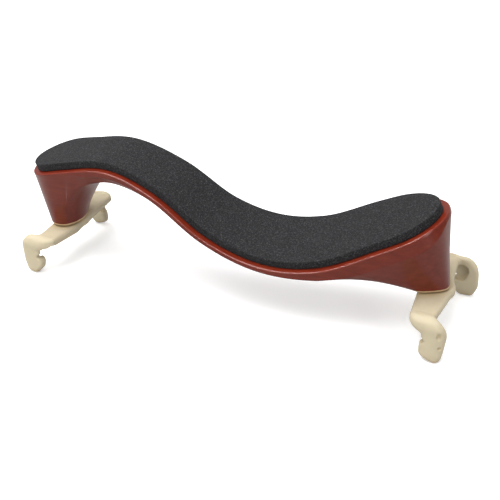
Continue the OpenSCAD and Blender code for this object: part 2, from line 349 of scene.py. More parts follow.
def side_points(station, edge):
    """One half of a bridge ring, from the top to the underside, with close rows beside each edge."""
    x, front, back, belly, band, support = station
    c, _, across, up = top_frame(x)
    w = across * edge
    low = front if edge < 0 else back
    mid = (front + back) / 2
    hw = half_width(x, RIM_WIDTH)
    rim = c + w * hw
    drop = max(band, LEAST_DROP)
    ledge = w * BAND_LEDGE * min(1, band / BAND_HEIGHT)
    band_edge = rim - up * drop + ledge
    wall = low - band_edge
    height = np.linalg.norm(wall)
    down = wall / height
    half = np.linalg.norm(low - mid)

    def underside(share):
        """A point between the middle (0) and the edge (1), on an oval belly."""
        return mid + (low - mid) * share + belly * (2 * math.sqrt(1 - 0.75 * share ** 2) - 1)

    return [
        c + w * hw * TOP_SHARE,
        *(c + w * (hw - edge_distance(row, hw)) for row in TOP_ROWS),
        rim,
        rim - up * edge_distance(RIM_ROW, drop),
        rim - up * (drop - edge_distance(BAND_ROW, drop)) + ledge / 2,
        band_edge,
        band_edge + down * edge_distance(LEDGE_ROW, height),
        *(band_edge + wall * share for share in WALL_SHARES),
        low - down * edge_distance((support, WALL_SUPPORT), height),
        low,
        underside(max(1 - support / half, UNDERSIDE_SHARES[0])),
        underside(UNDERSIDE_SHARES[1]),
    ]


def bridge_ring(station):
    x, front, back, belly = station[:4]
    return np.array([centre(x)] + side_points(station, -1) + [(front + back) / 2 + belly]
                    + side_points(station, 1)[::-1])


def drill(piece, cutter_mesh, matrix):
    """Cuts a mesh out of a piece."""
    cutter = bpy.data.objects.new("cutter", cutter_mesh)
    bpy.context.scene.collection.objects.link(cutter)
    cutter.matrix_world = matrix
    modifier = piece.modifiers.new("cut", "BOOLEAN")
    modifier.operation = "DIFFERENCE"
    modifier.solver = "EXACT"
    modifier.object = cutter
    bpy.context.view_layer.update()
    apply_modifiers(piece)
    bpy.data.objects.remove(cutter)


def build_bridge(material):
    middle = np.linspace(ARCH_END_X[0], ARCH_END_X[1], MIDDLE_STATIONS)[1:-1]
    stations = block_stations(SHOULDER)
    stations += [bridge_station(x) for x in middle]
    stations += block_stations(CHEST)[::-1]
    points, faces = closed_skin([bridge_ring(s) for s in stations])
    piece = make_object("bridge", points, faces, "bridge", ["wood_bridge"], material)
    subdivide(piece, SUBDIVISIONS)
    hole = lathe_mesh("hole", [(BASE_Z - 1, INSERT_R), (INSERT_TOP, INSERT_R),
                               (INSERT_TOP, CLEARANCE_R), (CLEARANCE_TOP, CLEARANCE_R)], HOLE_STEPS)
    for side in (SHOULDER, CHEST):
        drill(piece, hole, at_screw(side))
    piece.data.set_sharp_from_angle(angle=math.radians(WOOD_CREASE))
    return piece


# ---- foam pad

def pad_ring(x):
    c, _, across, up = top_frame(x)
    hw = half_width(x, 0)
    top = ADHESIVE_GAP + PAD_THICKNESS
    crown = PAD_CROWN * min(1, hw / 10)
    shape = [(0.45 * hw, top + crown * 0.8), (hw - min(2.5, 0.3 * hw), top + crown * 0.3),
             (hw - min(0.8, 0.12 * hw), top), (hw, top), (hw, top - 0.8), (hw + 0.05, ADHESIVE_GAP + 2),
             (hw, ADHESIVE_GAP + 0.4), (hw, ADHESIVE_GAP), (hw - min(0.5, 0.1 * hw), ADHESIVE_GAP),
             (0.5 * hw, ADHESIVE_GAP)]
    front = [c - across * a + up * b for a, b in shape]
    back = [c + across * a + up * b for a, b in shape]
    return np.array([c + up * (top + crown)] + front + [c + up * ADHESIVE_GAP] + back[::-1])


def build_pad(material):
    angles = np.linspace(-math.pi / 2, math.pi / 2, PAD_STATIONS)
    rings = [pad_ring(PAD_MID_X + HALF_PAD * PAD_TIP * math.sin(a)) for a in angles]
    points, faces = closed_skin(rings)
    piece = make_object("pad", points, faces, "bridge", ["foam_pad"], material)
    return subdivide(piece, SUBDIVISIONS)


# ---- turned and threaded metal

# Stud: shaft and thread root radii, height of the head, pitch and screwdriver slot
SHAFT_R, ROOT_R = 2.45, 2.02
HEAD_HEIGHT = 2.6
STUD_PITCH, INSERT_PITCH = 0.8, 1.5
ROWS_PER_PITCH = 9
SLOT_HALF_WIDTH, SLOT_DEPTH = 0.6, 1
BUSH_BORE_R, BUSH_MOUTH_R = 2.52, 2.9
TURNED_STEPS = 48


def lathe_mesh(name, profile, steps):
    """A closed turned mesh about Z. Each profile row is (z, radius); a radius may be a function of angle."""
    angles = np.linspace(0, 2 * math.pi, steps, endpoint=False)
    points = []
    for z, radius in profile:
        r = radius(angles) if callable(radius) else np.full(steps, float(radius))
        points.append(np.stack([r * np.cos(angles), r * np.sin(angles), np.full(steps, float(z))], -1))
    count = len(profile)
    bottom = tuple(reversed(range(steps)))
    top = tuple(range((count - 1) * steps, count * steps))
    mesh = bpy.data.meshes.new(name)
    corners = [tuple(p * MM) for p in np.concatenate(points)]
    mesh.from_pydata(corners, [], ring_faces(count, steps) + [bottom, top])
    mesh.validate()
    return mesh


def tube_mesh(name, profile, steps):
    """A turned ring-shaped mesh: the profile goes up outside and comes down inside."""
    mesh = lathe_mesh(name, profile + [profile[0]], steps)
    bm = bmesh.new()
    bm.from_mesh(mesh)
    caps = [f for f in bm.faces if len(f.verts) == steps]
    bmesh.ops.delete(bm, geom=caps, context="FACES")
    bmesh.ops.remove_doubles(bm, verts=bm.verts, dist=1e-7)
    bmesh.ops.recalc_face_normals(bm, faces=bm.faces)
    bm.to_mesh(mesh)
    bm.free()
    return mesh


def shade_metal(mesh):
    """Smooth shading that keeps the turned edges crisp."""
    shade_smooth(mesh)
    mesh.set_sharp_from_angle(angle=math.radians(METAL_CREASE))


def thread_profile(z0, z1, root, crest, pitch):
    """Rows of a screw thread between two heights; it runs out at both ends."""
    rows = []
    for z in np.linspace(z0, z1, int((z1 - z0) / pitch * ROWS_PER_PITCH)):
        fade = min(1, (z - z0) / pitch, (z1 - z) / pitch)

        def radius(angles, z=z, fade=fade):
            phase = (z / pitch - angles / (2 * math.pi)) % 1
            ridge = np.clip(1.35 * np.abs(2 * phase - 1) - 0.15, 0, 1)
            return root + (crest - root) * ridge * fade

        rows.append((z, radius))
    return rows


def at_screw(side):
    return Matrix.Translation((SIDE_SIGN[side] * SCREW_X * MM, 0, 0))


def stud_mesh():
    """A flat round head, then the threaded shaft."""
    head_top = STUD_LOW_Z + HEAD_HEIGHT
    rows = [(STUD_LOW_Z, 0.5), (STUD_LOW_Z, HEAD_R - 0.7), (STUD_LOW_Z + 0.15, HEAD_R - 0.25),
            (STUD_LOW_Z + 0.6, HEAD_R), (head_top - 0.3, HEAD_R), (head_top, HEAD_R - 0.3),
            (head_top, SHAFT_R - 0.25)]
    rows += thread_profile(head_top + 0.3, STUD_HIGH_Z - 0.5, ROOT_R, SHAFT_R, STUD_PITCH)
    rows += [(STUD_HIGH_Z - 0.4, 1.9), (STUD_HIGH_Z, 1.4), (STUD_HIGH_Z, 0.3)]
    return lathe_mesh("stud", rows, TURNED_STEPS)


def slot_mesh():
    """A bar that cuts the screwdriver slot into the head."""
    reach = HEAD_R + 1
    corners = [(x, y, z) for x in (-reach, reach) for y in (-SLOT_HALF_WIDTH, SLOT_HALF_WIDTH)
               for z in (STUD_LOW_Z - SLOT_DEPTH, STUD_LOW_Z + SLOT_DEPTH)]
    faces = [(0, 1, 3, 2), (4, 6, 7, 5), (0, 4, 5, 1), (2, 3, 7, 6), (0, 2, 6, 4), (1, 5, 7, 3)]
    mesh = bpy.data.meshes.new("slot")
    mesh.from_pydata([tuple(np.array(c) * MM) for c in corners], [], faces)
    return mesh


def bush_mesh():
    """A threaded sleeve with a plain bore that widens at its mouth."""
    rows = [(BASE_Z, INSERT_R - 0.15), (BASE_Z + 0.5, INSERT_R - 0.02)]
    rows += thread_profile(BASE_Z + 0.6, INSERT_TOP - 0.4, INSERT_R - 0.5, INSERT_R - 0.02, INSERT_PITCH)
    rows += [(INSERT_TOP, INSERT_R - 0.6), (INSERT_TOP, BUSH_BORE_R), (BASE_Z + 0.4, BUSH_BORE_R),
             (BASE_Z, BUSH_MOUTH_R)]
    return tube_mesh("bush", rows, TURNED_STEPS)


def build_metal(steel, brass):
    stud = stud_mesh()
    slot = slot_mesh()
    for side in (SHOULDER, CHEST):
        name = SIDE_NAMES[side]
        place = at_screw(side)
        mesh = stud.copy()
        mesh.materials.append(steel)
        screw = place_mesh("screw_" + name, mesh, place, name + "_screw", ["stud_" + name])
        drill(screw, slot, place)
        shade_metal(screw.data)
        bush = bush_mesh()
        bush.materials.append(brass)
        place_mesh("insert_" + name + "_bush", bush, place, "bridge", ["insert_" + name])
        shade_metal(bush)


# ---- moulded feet, shaped as distance fields in the foot's own frame:
# U outwards from the other foot, V along the arms, Z up, all in mm

FOOT_GRID = 0.3
ARM_BOTTOM = STUD_LOW_Z
ARM_THICKNESS = 5.5
ARM_EDGE_R = 1.9
HUB = (2.5, 8.5)
ARM_MID_U, ARM_SWAY = 1.6, 0.9
ARM_ENDS = ((0, 9, 7.3), (0, 24.6, 5.8))
# The claw stands between these distances from the screw, with round edges
CLAW_INNER, CLAW_OUTER = 26.3, 31.5
CLAW_EDGE_R = 2.1
# Discs in U and Z that the claw's outline is drawn round: the root at the strap, then the knuckle,
# back, heel, sole, toe and lip; first for the end at positive V, then for the end with pockets
CLAW_TOP = (0.8, 19.7, 2.7)
CLAW_DISCS = (
    ((10.6, 17.4, 6.2), (11.2, 8.6, 6.6), (12.6, 3.4, 3.2), (9.2, 3, 3), (6.5, 6, 3.2), (4.8, 7.4, 2)),
    ((9.6, 17.3, 6), (9.2, 8.5, 5.4), (10.9, 3, 3), (7.4, 4.2, 3), (6, 5, 3), (5, 7, 2)),
)
# Run and rise of the cut under the claw's hub side, and its softness
CLAW_HEEL = (1.7, 5, 1.5)
# The claw's corners are taken off along planes, each given by a normal, a point and a softness:
# the corners in U and V away from the other foot and towards it, the top edge in V and Z, and
# the top of the knuckle in U and Z
CLAW_FLANKS = (((0.62, 0.78), (14, 31.5), 3), ((0.62, 0.78), (11.6, 31.5), 2))
CLAW_CHEEK = ((-0.66, 0.75), (0.5, 30.2), 4)
CLAW_BROW = ((0.64, 0.77), (29.3, 23.2), 3.5)
CLAW_CROWNS = (((0.7, 0.71), (13.4, 21.4), 3), ((0.775, 0.634), (12, 21.2), 3))
# How softly arms join each other, and claws join arms
ARM_BLEND, CLAW_BLEND = 4, 3
# The mouth for the violin's edge: discs of the funnel and of the cup, which stops short of the outside
FUNNEL = ((-4, 13.6, 3.6), (4.1, 11, 1.3))
CUP = ((-3, 15, 3.6), (8, 15, 3.8), (7.8, 12.4, 3.2))
CUP_WALL, CUP_EDGE_R = 2.6, 1.2
MOUTH_EDGE_R = 0.9
# The fork's hook and its neck inside the rubber, as ranges of U and Z, and the hook's range of V
CORE_ARCH = (0.6, 9.5, 19.9, 20.9)
CORE_NECK = (0.6, 6, 19.9, 21.2)
CORE_RANGE = (CLAW_INNER + 0.8, CLAW_OUTER - 3)
NECK_RANGE = (CLAW_INNER - 1, CLAW_INNER + 2)
CORE_EDGE_R = 0.3
CORE_GAP = 0.04
# The rubber starts this far inside the claw's inner face, and the fork ends this far past it
RUBBER_OVERLAP, FORK_OVERLAP = 0.15, 0.05
BORE_R = 2.5
HEAD_CLEARANCE = 0.05
# Small pockets on a claw's flank: centre and half sizes in U, V and Z
POCKETS = (((12.1, 31.0, 15.6), (1.2, 1.2, 2.0)), ((12.8, 30.3, 9.0), (0.9, 0.9, 0.9)))
POCKET_EDGE_R = 0.35
# Space searched for the fork's and the rubber's surfaces
FORK_SPACE = ((-8, -30.9, 7), (18.7, 30.9, 25))
BOOT_SPACE = ((-5.5, 25.5, -0.6), (18.7, 32.2, 25))


def soft_min(a, b, k):
    h = np.clip(0.5 + 0.5 * (b - a) / k, 0, 1)
    return b + (a - b) * h - k * h * (1 - h)


def soft_max(a, b, k):
    return -soft_min(-a, -b, k)


def round_cone(p, q, a, b):
    """Distance to the hull of two discs, each given as (p, q, radius)."""
    ba = (b[0] - a[0], b[1] - a[1])
    l2 = ba[0] ** 2 + ba[1] ** 2
    rr = a[2] - b[2]
    a2 = l2 - rr * rr
    px, py = p - a[0], q - a[1]
    y = px * ba[0] + py * ba[1]
    z = y - l2
    x2 = (px * l2 - ba[0] * y) ** 2 + (py * l2 - ba[1] * y) ** 2
    k = np.sign(rr) * rr * rr * x2
    middle = (np.sqrt(x2 * a2 / l2) + y * rr) / l2 - a[2]
    low = np.sqrt(x2 + y * y * l2) / l2 - a[2]
    high = np.sqrt(x2 + z * z * l2) / l2 - b[2]
    nearer_low = np.sign(y) * a2 * y * y * l2 < k
    nearer_high = np.sign(z) * a2 * z * z * l2 > k
    return np.where(nearer_high, high, np.where(nearer_low, low, middle))


def extruded(flat, w, r):
    """A flat distance and a distance along the third axis, joined with edges of radius r."""
    a, b = flat + r, w + r
    return np.hypot(np.maximum(a, 0), np.maximum(b, 0)) + np.minimum(np.maximum(a, b), 0) - r


def span_distance(w, low, high):
    return np.abs(w - (low + high) / 2) - (high - low) / 2


def box_distance(p, q, ranges):
    return extruded(span_distance(p, *ranges[:2]), span_distance(q, *ranges[2:]), 0)


def plane_distance(p, q, normal, point):
    return (p - point[0]) * normal[0] + (q - point[1]) * normal[1]


def arms(u, v, z):
    """Hub and strap; the strap's middle line sways to opposite sides of the two arms."""
    plan = np.hypot(u - HUB[0], v) - HUB[1]
    middle_u = ARM_MID_U - ARM_SWAY * np.tanh(v / 5)
    plan = soft_min(plan, round_cone(u - middle_u, np.abs(v), *ARM_ENDS), ARM_BLEND)
    return extruded(plan, span_distance(z, ARM_BOTTOM, ARM_BOTTOM + ARM_THICKNESS), ARM_EDGE_R)


def claw_outline(u, z, discs):
    d = round_cone(u, z, CLAW_TOP, discs[0])
    for a, b in zip(discs, discs[1:] + discs[:1]):
        d = np.minimum(d, round_cone(u, z, a, b))
    for a in discs[2:]:
        d = np.minimum(d, round_cone(u, z, discs[1], a))
    return d


def end_claw(u, v, z, end):
    """A solid claw, with its lower corner beside the hub cut away."""
    d = extruded(claw_outline(u, z, CLAW_DISCS[end]), span_distance(v, CLAW_INNER, CLAW_OUTER), CLAW_EDGE_R)
    run, rise, heel_softness = CLAW_HEEL
    heel = (run * rise - (v - CLAW_INNER) * rise - z * run) / math.hypot(run, rise)
    d = soft_max(d, heel, heel_softness)
    cuts = ((u, v, CLAW_FLANKS[end]), (u, v, CLAW_CHEEK), (v, z, CLAW_BROW), (u, z, CLAW_CROWNS[end]))
    for p, q, (normal, point, softness) in cuts:
        d = soft_max(d, plane_distance(p, q, normal, point), softness)
    return d


def claw(u, v, z):
    return np.where(v > 0, end_claw(u, np.abs(v), z, 0), end_claw(u, np.abs(v), z, 1))


def foot_outside(u, v, z):
    """The whole moulding, arms and claws, before anything is hollowed out."""
    return soft_min(arms(u, v, z), claw(u, v, z), CLAW_BLEND)


def core(u, v, z, grow):
    """The fork's hook inside the rubber, joined to the arm by a narrower neck."""
    parts = [extruded(box_distance(u, z, box), span_distance(np.abs(v), *reach), CORE_EDGE_R)
             for box, reach in ((CORE_ARCH, CORE_RANGE), (CORE_NECK, NECK_RANGE))]
    return np.minimum(*parts) - grow


def throat(u, v, z):
    """The mouth for the violin's edge: a funnel through the outer wall and a deeper cup behind it."""
    cup = np.minimum(round_cone(u, z, CUP[0], CUP[1]), round_cone(u, z, CUP[1], CUP[2]))
    cup = extruded(cup, np.abs(v) - CLAW_OUTER + CUP_WALL, CUP_EDGE_R)
    return soft_min(round_cone(u, z, *FUNNEL), cup, 1)


def ball_distance(u, v, z, centre_point, half_sizes):
    """Distance to a stretched ball, in units of its half sizes."""
    offsets = [(w - c) / h for w, c, h in zip((u, v, z), centre_point, half_sizes)]
    return np.sqrt(sum(offset ** 2 for offset in offsets)) - 1


def fork(u, v, z):
    d = np.maximum(foot_outside(u, v, z), np.abs(v) - CLAW_INNER - FORK_OVERLAP)
    d = soft_max(d, -throat(u, v, z), MOUTH_EDGE_R)
    d = np.minimum(d, core(u, v, z, 0))
    bore = np.hypot(u, v) - BORE_R
    head_top = ARM_BOTTOM + HEAD_HEIGHT + HEAD_CLEARANCE
    head_pocket = np.maximum(np.hypot(u, v) - HEAD_R - HEAD_CLEARANCE, z - head_top)
    return np.maximum(d, -np.minimum(bore, head_pocket))


def boot(u, v, z, pockets):
    """The rubber over one end, built at positive V; the one with pockets belongs at the other end."""
    d = np.maximum(foot_outside(u, -v if pockets else v, z), CLAW_INNER - RUBBER_OVERLAP - v)
    d = soft_max(d, -throat(u, v, z), MOUTH_EDGE_R)
    d = np.maximum(d, -core(u, v, z, CORE_GAP))
    if pockets:
        upper, lower = (ball_distance(u, v, z, *pocket) for pocket in POCKETS)
        d = soft_max(d, -np.minimum(upper, lower), POCKET_EDGE_R)
    return d


CELL_CORNERS = [(i, j, k) for i in (0, 1) for j in (0, 1) for k in (0, 1)]
# Cells round a grid edge along each axis, in turning order
CELLS_ROUND_EDGE = {
    0: [(0, -1, -1), (0, 0, -1), (0, 0, 0), (0, -1, 0)],
    1: [(0, 0, -1), (-1, 0, -1), (-1, 0, 0), (0, 0, 0)],
    2: [(-1, -1, 0), (0, -1, 0), (0, 0, 0), (-1, 0, 0)],
}


def at_corner(array, corner):
    """The values that all cells see at one of their corners."""
    return array[tuple(slice(c, c + n - 1) for c, n in zip(corner, array.shape))]


def cell_points(values, active):
    """For each active cell, the mean of the places where its edges cross zero, in grid units."""
    total = np.zeros((active.sum(), 3))
    crossings = np.zeros(active.sum())
    for a in CELL_CORNERS:
        for axis in range(3):
            if a[axis]:
                continue
            b = tuple(1 if n == axis else c for n, c in enumerate(a))
            va, vb = at_corner(values, a)[active], at_corner(values, b)[active]
            crossed = (va < 0) != (vb < 0)
            share = np.where(crossed, va / np.where(crossed, va - vb, 1), 0)
            point = np.array(a, float) + share[:, None] * np.eye(3)[axis]
            total += point * crossed[:, None]
            crossings += crossed
    return np.argwhere(active) + total / crossings[:, None]


def cell_faces(inside, index):
    """A quad between the four cells round each grid edge that crosses the surface."""
    faces = []
    for axis, offsets in CELLS_ROUND_EDGE.items():
        near = inside[tuple(slice(0, -1) if n == axis else slice(None) for n in range(3))]
        far = inside[tuple(slice(1, None) if n == axis else slice(None) for n in range(3))]
        for flip, edges in ((False, near & ~far), (True, ~near & far)):
            nodes = np.argwhere(edges)
            quads = np.stack([index[tuple((nodes + o).T)] for o in offsets], -1)
            faces.append(quads[:, ::-1] if flip else quads)
    return np.concatenate(faces)


def surface(name, field, space, mirror=False):
    """Meshes the zero surface of a distance field, one point per crossed grid cell."""
    axes = [np.arange(a, b + FOOT_GRID, FOOT_GRID) for a, b in zip(*space)]
    values = field(*np.meshgrid(*axes, indexing="ij"))
    inside = values < 0
    filled = sum(at_corner(inside, c).astype(int) for c in CELL_CORNERS)
    active = (filled > 0) & (filled < len(CELL_CORNERS))
    index = np.full(active.shape, -1)
    index[active] = np.arange(active.sum())
    points = np.array([a[0] for a in axes]) + cell_points(values, active) * FOOT_GRID
    faces = cell_faces(inside, index)
    if mirror:
        points[:, 1] *= -1
        faces = faces[:, ::-1]
    mesh = bpy.data.meshes.new(name)
    mesh.from_pydata([tuple(p) for p in points * MM], [], faces.tolist())
    mesh.validate()
    shade_smooth(mesh)
    return mesh


def boot_mesh(end, rubber):
    pockets = end == 1
    mesh = surface("boot", lambda u, v, z: boot(u, v, z, pockets), BOOT_SPACE, mirror=pockets)
    mesh.materials.append(rubber)
    return mesh


def build_feet(plastic, rubber):
    fork_mesh = surface("fork", fork, FORK_SPACE)
    fork_mesh.materials.append(plastic)
    boots = [boot_mesh(end, rubber) for end in (0, 1)]
    for side in (SHOULDER, CHEST):
        name = SIDE_NAMES[side]
        turn = math.radians(-FOOT_TURN if side == CHEST else 180 - FOOT_TURN)
        place = at_screw(side) @ Matrix.Rotation(turn, 4, "Z")
        body = name + "_foot"
        place_mesh("fork_" + name, fork_mesh, place, body, ["foot_" + name])
        for end, mesh in enumerate(boots):
            where = "back" if (end == 0) == (side == CHEST) else "front"
            place_mesh(f"claw_{name}_{where}", mesh, place, body, [f"boot_{name}_{where}"])


# ---- materials: colours are linear, ramps are lists of (position, colour)

LACQUER_TONES = [(0.3, (0.100, 0.012, 0.005)), (0.52, (0.125, 0.016, 0.007)), (0.72, (0.150, 0.021, 0.009))]
FIGURE_SHADES = [(0.3, (0.85, 0.82, 0.80)), (0.7, (1.0, 1.0, 1.0))]
MAPLE_TONES = [(0.25, (0.42, 0.27, 0.15)), (0.75, (0.62, 0.46, 0.28))]
# Painted light: how much redder and lighter the lacquer is made where the wood faces up, towards the light
# above
PAINTED_TOP_LIGHT = (1.3, 1.15, 1.0)
# Height of the bare wood at a block's foot, its unevenness and the softness of its edge, in mm
BARE_HEIGHT, BARE_WOBBLE, BARE_BLUR = 1.35, 0.5, 0.12
FOAM_TONES = [(0.34, (0.004, 0.004, 0.005)), (0.52, (0.015, 0.015, 0.016)), (0.68, (0.055, 0.055, 0.058))]
FOAM_CLOUDS = [(0.3, (0.72, 0.72, 0.74)), (0.7, (1, 1, 1))]
# Colours of the ivory plastic and cream rubber, each with the painted shade that its hollows are darkened
# towards
IVORY, IVORY_PAINTED_SHADE = (0.51, 0.44, 0.31), (0.40, 0.30, 0.17)
CREAM, CREAM_PAINTED_SHADE = (0.52, 0.455, 0.32), (0.43, 0.33, 0.19)
STEEL = (0.62, 0.62, 0.64)
BRASS = (0.75, 0.52, 0.22)
PAPER_TONES = [(0.3, (0.90, 0.90, 0.90)), (0.7, (0.92, 0.92, 0.92))]


def new_material(name):
    material = bpy.data.materials.new(name)
    material.use_nodes = True
    nodes, links = material.node_tree.nodes, material.node_tree.links
    return material, nodes, links, nodes["Principled BSDF"]


def noise(nodes, links, vector, scale, detail=4, roughness=0.5):
    node = nodes.new("ShaderNodeTexNoise")
    node.inputs["Scale"].default_value = scale
    node.inputs["Detail"].default_value = detail
    node.inputs["Roughness"].default_value = roughness
    links.new(vector, node.inputs["Vector"])
    return node.outputs["Fac"]


def object_vector(nodes, links, scale=(1, 1, 1)):
    """Object coordinates, stretched, then turned and moved off the noise's own grid planes."""
    coordinates = nodes.new("ShaderNodeTexCoord")
    mapping = nodes.new("ShaderNodeMapping")
    mapping.inputs["Scale"].default_value = scale
    mapping.inputs["Rotation"].default_value = (0.3, 0.2, 0.5)
    mapping.inputs["Location"].default_value = (3.4, 1.7, 5.1)
    links.new(coordinates.outputs["Object"], mapping.inputs["Vector"])
    return mapping.outputs["Vector"]


def ramp(nodes, links, factor, stops):
    node = nodes.new("ShaderNodeValToRGB")
    elements = node.color_ramp.elements
    while len(elements) < len(stops):
        elements.new(0.5)
    for element, (position, color) in zip(elements, stops):
        element.position = position
        element.color = (*color, 1)
    links.new(factor, node.inputs["Fac"])
    return node.outputs["Color"]


def mix(nodes, links, factor, a, b, mode="MIX"):
    node = nodes.new("ShaderNodeMix")
    node.data_type = "RGBA"
    node.blend_type = mode
    for value, socket in ((factor, node.inputs["Factor"]), (a, node.inputs[6]), (b, node.inputs[7])):
        if isinstance(value, bpy.types.NodeSocket):
            links.new(value, socket)
        else:
            socket.default_value = value
    return node.outputs[2]


def bump(nodes, links, shader, height, strength, distance, under=None):
    node = nodes.new("ShaderNodeBump")
    node.inputs["Strength"].default_value = strength
    node.inputs["Distance"].default_value = distance
    links.new(height, node.inputs["Height"])
    if under is not None:
        links.new(under, node.inputs["Normal"])
    links.new(node.outputs["Normal"], shader.inputs["Normal"])
    return node.outputs["Normal"]


def to_range(nodes, links, value, low, high, out_low=0.0, out_high=1.0):
    node = nodes.new("ShaderNodeMapRange")
    node.inputs["From Min"].default_value = low
    node.inputs["From Max"].default_value = high
    node.inputs["To Min"].default_value = out_low
    node.inputs["To Max"].default_value = out_high
    links.new(value, node.inputs["Value"])
    return node.outputs["Result"]


def bare_wood(nodes, links):
    """1 below an uneven line at the foot of the blocks, 0 above it."""
    coordinates = nodes.new("ShaderNodeTexCoord")
    place = nodes.new("ShaderNodeSeparateXYZ")
    links.new(coordinates.outputs["Object"], place.inputs["Vector"])
    edge = nodes.new("ShaderNodeMath")
    edge.operation = "MULTIPLY_ADD"
    links.new(noise(nodes, links, object_vector(nodes, links), 260, 3), edge.inputs[0])
    edge.inputs[1].default_value = BARE_WOBBLE * MM
    links.new(place.outputs["Z"], edge.inputs[2])
    line = BASE_Z + BARE_HEIGHT
    return to_range(nodes, links, edge.outputs["Value"], (line + BARE_BLUR) * MM, (line - BARE_BLUR) * MM)


# Painted light: lacquer facing up is tinted redder and lighter, as if lit from above
def painted_light_on_top(nodes, links, lacquer):
    geometry = nodes.new("ShaderNodeNewGeometry")
    normal = nodes.new("ShaderNodeSeparateXYZ")
    links.new(geometry.outputs["Normal"], normal.inputs["Vector"])
    facing_up = to_range(nodes, links, normal.outputs["Z"], 0.2, 0.8)
    painted_lit_lacquer = mix(nodes, links, 1.0, lacquer, (*PAINTED_TOP_LIGHT, 1), "MULTIPLY")
    return mix(nodes, links, facing_up, lacquer, painted_lit_lacquer)


def ripple_coat(nodes, links, shader):
    """Slow waves in the clear coat, as sprayed lacquer has."""
    ripple = nodes.new("ShaderNodeBump")
    ripple.inputs["Strength"].default_value = 0.25
    ripple.inputs["Distance"].default_value = 0.15 * MM
    links.new(noise(nodes, links, object_vector(nodes, links), 90, 2), ripple.inputs["Height"])
    links.new(ripple.outputs["Normal"], shader.inputs["Coat Normal"])


def lacquered_maple():
    material, nodes, links, shader = new_material("lacquered_maple")
    grain = noise(nodes, links, object_vector(nodes, links, (40, 520, 520)), 1.0, 6, 0.62)
    figure = noise(nodes, links, object_vector(nodes, links, (190, 45, 45)), 1.0, 3, 0.5)
    tone = ramp(nodes, links, grain, LACQUER_TONES)
    lacquer = mix(nodes, links, 0.6, tone, ramp(nodes, links, figure, FIGURE_SHADES), "MULTIPLY")
    lacquer = painted_light_on_top(nodes, links, lacquer)
    bare = bare_wood(nodes, links)
    maple = ramp(nodes, links, grain, MAPLE_TONES)
    links.new(mix(nodes, links, bare, lacquer, maple), shader.inputs["Base Color"])
    links.new(to_range(nodes, links, bare, 0, 1, 0.30, 0.62), shader.inputs["Roughness"])
    links.new(to_range(nodes, links, bare, 0, 1, 0.35, 0.0), shader.inputs["Coat Weight"])
    shader.inputs["Specular IOR Level"].default_value = 0.12
    shader.inputs["Coat Roughness"].default_value = 0.08
    shader.inputs["Coat IOR"].default_value = 1.52
    bump(nodes, links, shader, grain, 0.10, 0.05 * MM)
    ripple_coat(nodes, links, shader)
    return material


def foam():
    material, nodes, links, shader = new_material("foam")
    vector = object_vector(nodes, links)
    fine = noise(nodes, links, vector, 1500, 3, 0.75)
    coarse = noise(nodes, links, vector, 420, 4, 0.6)
    cells = nodes.new("ShaderNodeTexVoronoi")
    cells.inputs["Scale"].default_value = 1700
    links.new(vector, cells.inputs["Vector"])
    speckle = ramp(nodes, links, fine, FOAM_TONES)
    cloud = ramp(nodes, links, coarse, FOAM_CLOUDS)
    links.new(mix(nodes, links, 0.7, speckle, cloud, "MULTIPLY"), shader.inputs["Base Color"])
    shader.inputs["Roughness"].default_value = 0.9
    shader.inputs["Specular IOR Level"].default_value = 0.15
    shader.inputs["Sheen Weight"].default_value = 0.02
    shader.inputs["Sheen Roughness"].default_value = 0.5
    under = bump(nodes, links, shader, cells.outputs["Distance"], 0.5, 0.18 * MM)
    bump(nodes, links, shader, fine, 0.5, 0.15 * MM, under)
    return material


def moulded(name, light, painted_shade, roughness, grain_scale, scatter):
    """Ivory plastic or cream rubber: slightly uneven colour, painted shade in the hollows, fine surface
    grain.
    """
    material, nodes, links, shader = new_material(name)
    vector = object_vector(nodes, links)
    cloud = noise(nodes, links, vector, 130, 4, 0.6)
    tone = ramp(nodes, links, cloud, [(0.35, tuple(0.93 * c for c in light)), (0.65, light)])
    # Painted shade: the colour is mixed towards the shade colour where ambient occlusion finds hollows
    shade_occlusion = nodes.new("ShaderNodeAmbientOcclusion")
    shade_occlusion.inputs["Distance"].default_value = 5 * MM
    shade_occlusion.samples = 8
    shade_share = to_range(nodes, links, shade_occlusion.outputs["AO"], 0.25, 0.95, 1.0, 0.0)
    links.new(mix(nodes, links, shade_share, tone, (*painted_shade, 1)), shader.inputs["Base Color"])
    grain = noise(nodes, links, vector, grain_scale, 3, 0.6)
    links.new(to_range(nodes, links, cloud, 0.3, 0.7, roughness - 0.06, roughness + 0.06),
              shader.inputs["Roughness"])
    shader.inputs["Specular IOR Level"].default_value = 0.12
    shader.inputs["Subsurface Weight"].default_value = scatter
    shader.inputs["Subsurface Radius"].default_value = (1.0, 0.6, 0.3)
    shader.inputs["Subsurface Scale"].default_value = 1.5 * MM
    bump(nodes, links, shader, grain, 0.3, 0.06 * MM)
    return material


def metal(name, color, roughness):
    """Turned metal with fine lathe lines and slight tarnish."""
    material, nodes, links, shader = new_material(name)
    vector = object_vector(nodes, links, (1, 1, 40))
    lines = noise(nodes, links, vector, 180, 4, 0.7)
    tarnish = noise(nodes, links, object_vector(nodes, links), 500, 4)
    dull = tuple(0.6 * c for c in color)
    links.new(ramp(nodes, links, tarnish, [(0.3, dull), (0.6, color)]), shader.inputs["Base Color"])
    shader.inputs["Metallic"].default_value = 1
    links.new(to_range(nodes, links, lines, 0.3, 0.7, roughness - 0.08, roughness + 0.12),
              shader.inputs["Roughness"])
    bump(nodes, links, shader, lines, 0.15, 0.02 * MM)
    return material


# ---- stage, light and camera

FLOOR_HALF = 4.0
# Brightness of the sky at the horizon and high up, and of the floor as the object sees it
SKY = (0.25, 0.9)
BOUNCE = (0.45, 0.44, 0.43)
# How much the floor is lifted for the camera, which keeps the shadows on it faint
GLOW = 0.3
